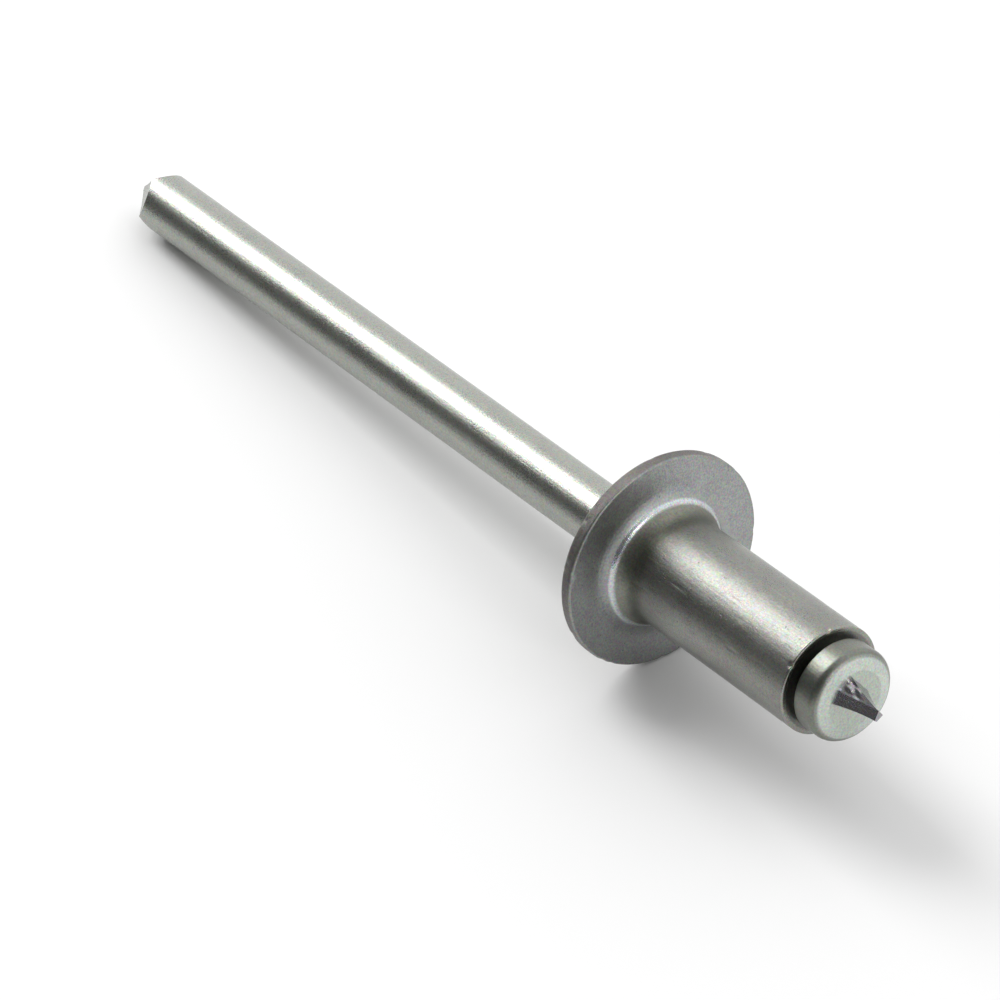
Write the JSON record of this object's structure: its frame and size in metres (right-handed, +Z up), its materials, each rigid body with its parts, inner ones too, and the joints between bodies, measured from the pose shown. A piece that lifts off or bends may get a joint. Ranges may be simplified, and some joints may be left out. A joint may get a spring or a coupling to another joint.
{
  "type": "blind rivet",
  "caption": "Unset blind rivet lying on its side: aluminium sleeve with a domed flange on a steel mandrel with an upset head and a pinch-cut tail.",
  "frame": {"origin": "middle of the underside of the lying rivet's bounding box, on the surface that it rests on", "axes": "+X along that surface below the rivet's axis, towards the blind end of the sleeve and the mandrel's head; +Z up. The rivet's own axis leans 5.46 degrees up towards +X, because it rests on the edge of the flange and on the mandrel's tail"},
  "size_m": [0.0514, 0.0094, 0.0095],
  "materials": {
    "body_aluminium": "satin, tumbled, with fine scuffs and small nicks",
    "mandrel_steel": "bright drawn wire, zinc plated, with fine lines along its length"
  },
  "bodies": {
    "root": {"rivet_body": "body_aluminium", "mandrel": "mandrel_steel"}
  },
  "joints": []
}
